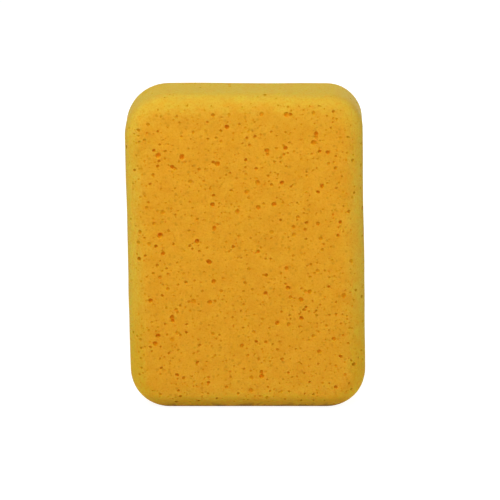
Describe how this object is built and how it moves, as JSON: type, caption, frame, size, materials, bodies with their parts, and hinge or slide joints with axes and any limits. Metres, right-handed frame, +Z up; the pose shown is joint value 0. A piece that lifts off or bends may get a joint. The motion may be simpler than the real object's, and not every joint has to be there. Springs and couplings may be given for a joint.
{
  "type": "cleaning sponge",
  "caption": "Rectangular block of open-cell foam with rounded corners and edges, held in the hand to wipe and rinse tiles, grout and other hard surfaces.",
  "frame": {"origin": "middle of the short end that the sponge stands on", "axes": "+Z up the length, from the standing end to the other short end; X across the width; Y through the thickness, with the front face towards -Y"},
  "size_m": [0.1421, 0.0508, 0.1905],
  "materials": {
    "foam": "soft, dry open-cell foam with a fine nap and many round pores, matte"
  },
  "bodies": {
    "root": {"sponge": "foam"}
  },
  "joints": []
}
